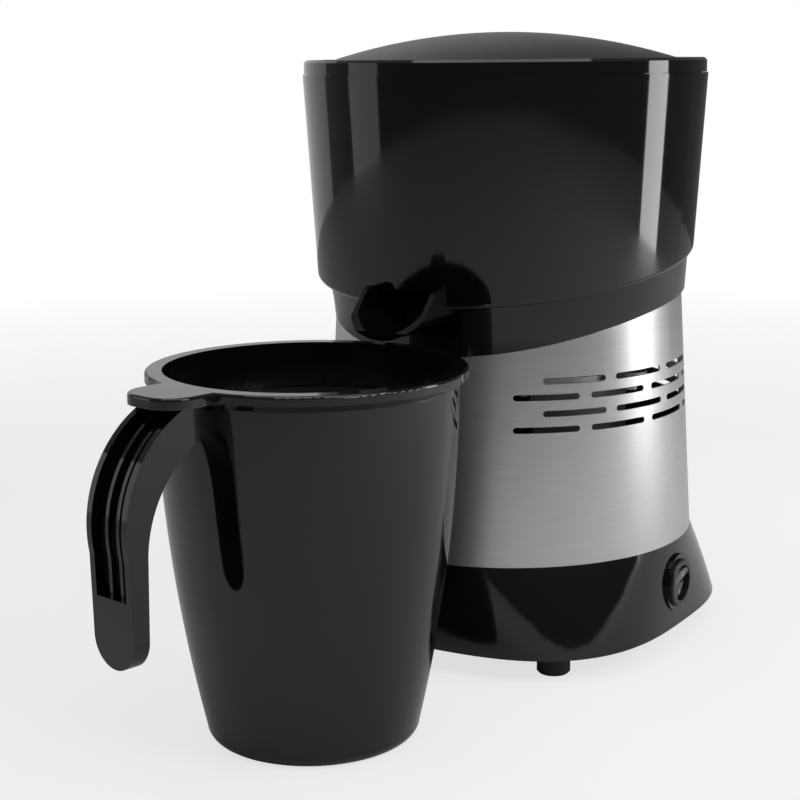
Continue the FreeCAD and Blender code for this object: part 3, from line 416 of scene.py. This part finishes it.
def flat_mark(name, outline_groups, rise):
    """A thin raised mesh from closed outlines, each a list of (outer, inner) point pairs."""
    shape = bmesh.new()
    for loop in outline_groups:
        tops = [[shape.verts.new((x, y, rise)) for x, y in pair] for pair in loop]
        lows = [[shape.verts.new((x, y, -rise)) for x, y in pair] for pair in loop]
        count = len(loop)
        for k in range(count):
            n = (k + 1) % count
            shape.faces.new((tops[k][0], tops[n][0], tops[n][1], tops[k][1]))
            shape.faces.new((lows[k][1], lows[n][1], lows[n][0], lows[k][0]))
            shape.faces.new((tops[k][0], lows[k][0], lows[n][0], tops[n][0]))
            shape.faces.new((tops[k][1], tops[n][1], lows[n][1], lows[k][1]))
    bmesh.ops.recalc_face_normals(shape, faces=shape.faces)
    mesh = bpy.data.meshes.new(name)
    shape.to_mesh(mesh)
    shape.free()
    piece = bpy.data.objects.new(name, mesh)
    bpy.context.scene.collection.objects.link(piece)
    return piece


def ring_outline(radius, width, count=40):
    pairs = []
    for k in range(count):
        turn = 2 * math.pi * k / count
        c, s = math.cos(turn), math.sin(turn)
        pairs.append(((radius * c, radius * s), ((radius - width) * c, (radius - width) * s)))
    return pairs


def bar_outline(length, width, count=12):
    """A bar with round ends, as pairs from its edge to its middle line."""
    pairs = []
    half = length / 2 - width / 2
    for end in (1, -1):
        for k in range(count + 1):
            turn = math.pi * k / count + (0 if end > 0 else math.pi)
            x = width / 2 * math.cos(turn)
            y = width / 2 * math.sin(turn) + end * half
            pairs.append(((x, y), (x * 0.05, y * 0.98)))
    return pairs


class JUICER_OT_switch_marks(bpy.types.Operator):
    """Put the plain on and off marks on the rocker"""
    bl_idname = "juicer.switch_marks"
    bl_label = "Switch marks"

    def execute(self, context):
        sizes = context.scene.juicer_switch
        rocker = NODES["switch_rocker"]
        low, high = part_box("switch_rocker")
        middle = (low + high) / 2
        white = moulded("mark_white", (0.62, 0.62, 0.62), 0.4)
        marks = (("switch_mark_off", ring_outline(sizes.ring_radius, sizes.line_width), 1),
                 ("switch_mark_on", bar_outline(sizes.bar_length, sizes.line_width), -1))
        for name, outline, side in marks:
            start = Vector((high.x + 0.02, middle.y, middle.z + side * sizes.spread))
            hit, spot, normal, _ = rocker.ray_cast(start, Vector((-1, 0, 0)))
            if not hit:
                raise RuntimeError("the rocker has no face under " + name)
            across = Vector((0, 1, 0))
            upward = normal.cross(across).normalized()
            turn = Matrix((across, upward, normal)).transposed().to_4x4()
            piece = flat_mark(name, [outline], sizes.rise)
            piece.data.transform(Matrix.Translation(spot) @ turn)
            coat(white, piece)
            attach(piece, "rocker")
        return {"FINISHED"}


def direction(azimuth, elevation=0.0):
    a, e = math.radians(azimuth), math.radians(elevation)
    return Vector((math.sin(a) * math.cos(e), -math.cos(a) * math.cos(e), math.sin(e)))


def softbox(name, azimuth, elevation, distance, width, height, watts, aim):
    lamp = bpy.data.lights.new(name, "AREA")
    lamp.shape = "RECTANGLE"
    lamp.size = width
    lamp.size_y = height
    lamp.energy = watts
    box = bpy.data.objects.new(name, lamp)
    toward = direction(azimuth, elevation)
    box.location = aim + toward * distance
    box.rotation_mode = "QUATERNION"
    box.rotation_quaternion = (-toward).to_track_quat("-Z", "Y")
    bpy.context.scene.collection.objects.link(box)


def white_floor(stage):
    """A round pale floor that fades into the background and keeps the object's shadow."""
    shape = bmesh.new()
    bmesh.ops.create_circle(shape, cap_ends=True, segments=96, radius=stage.floor_radius)
    mesh = bpy.data.meshes.new("floor")
    shape.to_mesh(mesh)
    shape.free()
    floor = bpy.data.objects.new("floor", mesh)
    bpy.context.scene.collection.objects.link(floor)
    finish = Finish("pale_floor")
    place = finish.place()
    distance = finish.node("ShaderNodeVectorMath", {"operation": "LENGTH"}, {0: place}, output=1)
    fade = (distance / stage.floor_radius * 2.0 - 0.7).largest(0.0).smallest(1.0)
    speck = finish.noise(place, 0.15, 2.0)
    tint = finish.mixed(speck, shade(stage.floor_colour, 0.98), shade(stage.floor_colour, 1.02))
    matt = finish.node("ShaderNodeBsdfDiffuse", inputs={"Color": tint})
    white = finish.node("ShaderNodeEmission", inputs={"Color": (1, 1, 1, 1), "Strength": 1.0})
    seen = finish.node("ShaderNodeLightPath")
    factor = seen * (FLOOR_LIT_SHARE + (1.0 - FLOOR_LIT_SHARE) * fade)
    finish.finish(finish.node("ShaderNodeMixShader", inputs={0: factor, 1: matt, 2: white}))
    floor.data.materials.append(finish.material)


def studio_world(stage):
    """White where it is seen, soft grey light everywhere else, brighter behind on the left."""
    world = bpy.data.worlds.new("studio")
    world.use_nodes = True
    bpy.context.scene.world = world
    finish = Finish("studio", world.node_tree)
    x, y, z = finish.axes(finish.place_world())
    seen = finish.node("ShaderNodeLightPath")
    side = ((y * 0.35 - x * 0.94).largest(0.0)).power(3.0)
    behind = (y * 0.6 - x * 0.8).above(BEHIND_EDGE)
    grey = stage.ambient + SIDE_GLOW * side + BEHIND_GLOW * behind + TOP_GLOW * z.largest(0.0)
    level = seen + (1 - seen) * grey
    shader = finish.node("ShaderNodeBackground", inputs={"Color": (1, 1, 1, 1), "Strength": level})
    finish.finish(shader, "ShaderNodeOutputWorld")


def view_camera(stage):
    camera = bpy.data.objects.new("camera", bpy.data.cameras.new("camera"))
    camera.data.sensor_width = SENSOR_WIDTH
    camera.data.lens = stage.focal_length
    camera.data.clip_start = 0.01
    camera.data.clip_end = 50.0
    right = Vector(CAMERA_RIGHT)
    forward = Vector(CAMERA_FORWARD).normalized()
    upward = right.cross(forward).normalized()
    right = forward.cross(upward)
    turn = Matrix((right, upward, -forward)).transposed().to_4x4()
    camera.matrix_world = Matrix.Translation(stage.camera_place) @ turn
    bpy.context.scene.collection.objects.link(camera)
    bpy.context.scene.camera = camera


class JUICER_OT_stage(bpy.types.Operator):
    """Build the floor, the background, the lights and the camera"""
    bl_idname = "juicer.stage"
    bl_label = "Stage"

    def execute(self, context):
        stage = context.scene.juicer_stage
        context.scene.view_settings.view_transform = "Standard"
        white_floor(stage)
        studio_world(stage)
        view_camera(stage)
        for name, *placing in SOFTBOXES:
            softbox(name, *placing, Vector(AIM_POINT))
        return {"FINISHED"}


class JUICER_PT_panel(bpy.types.Panel):
    """Lists the steps that give the juicer its looks"""
    bl_idname = "JUICER_PT_panel"
    bl_label = "Citrus juicer"
    bl_space_type = "VIEW_3D"
    bl_region_type = "UI"
    bl_category = "Juicer"

    def draw(self, context):
        for operator in OPERATORS:
            self.layout.operator(operator.bl_idname)
        for group in (context.scene.juicer_finish, context.scene.juicer_switch,
                      context.scene.juicer_stage):
            for name in group.__annotations__:
                self.layout.prop(group, name)


OPERATORS = (JUICER_OT_gloss, JUICER_OT_satin, JUICER_OT_sleeve, JUICER_OT_motor,
             JUICER_OT_small_parts, JUICER_OT_switch_marks, JUICER_OT_stage)
GROUPS = {"juicer_finish": JuicerFinish, "juicer_switch": JuicerSwitch, "juicer_stage": JuicerStage}


def register():
    for kind in (*GROUPS.values(), *OPERATORS, JUICER_PT_panel):
        bpy.utils.register_class(kind)
    for name, kind in GROUPS.items():
        setattr(bpy.types.Scene, name, PointerProperty(type=kind))


def unregister():
    for name in GROUPS:
        delattr(bpy.types.Scene, name)
    for kind in (JUICER_PT_panel, *reversed(OPERATORS), *reversed(GROUPS.values())):
        bpy.utils.unregister_class(kind)


def main():
    register()
    bpy.ops.juicer.gloss()
    bpy.ops.juicer.satin()
    bpy.ops.juicer.sleeve()
    bpy.ops.juicer.motor()
    bpy.ops.juicer.small_parts()
    bpy.ops.juicer.switch_marks()
    bpy.ops.juicer.stage()


if __name__ == "__main__":
    main()
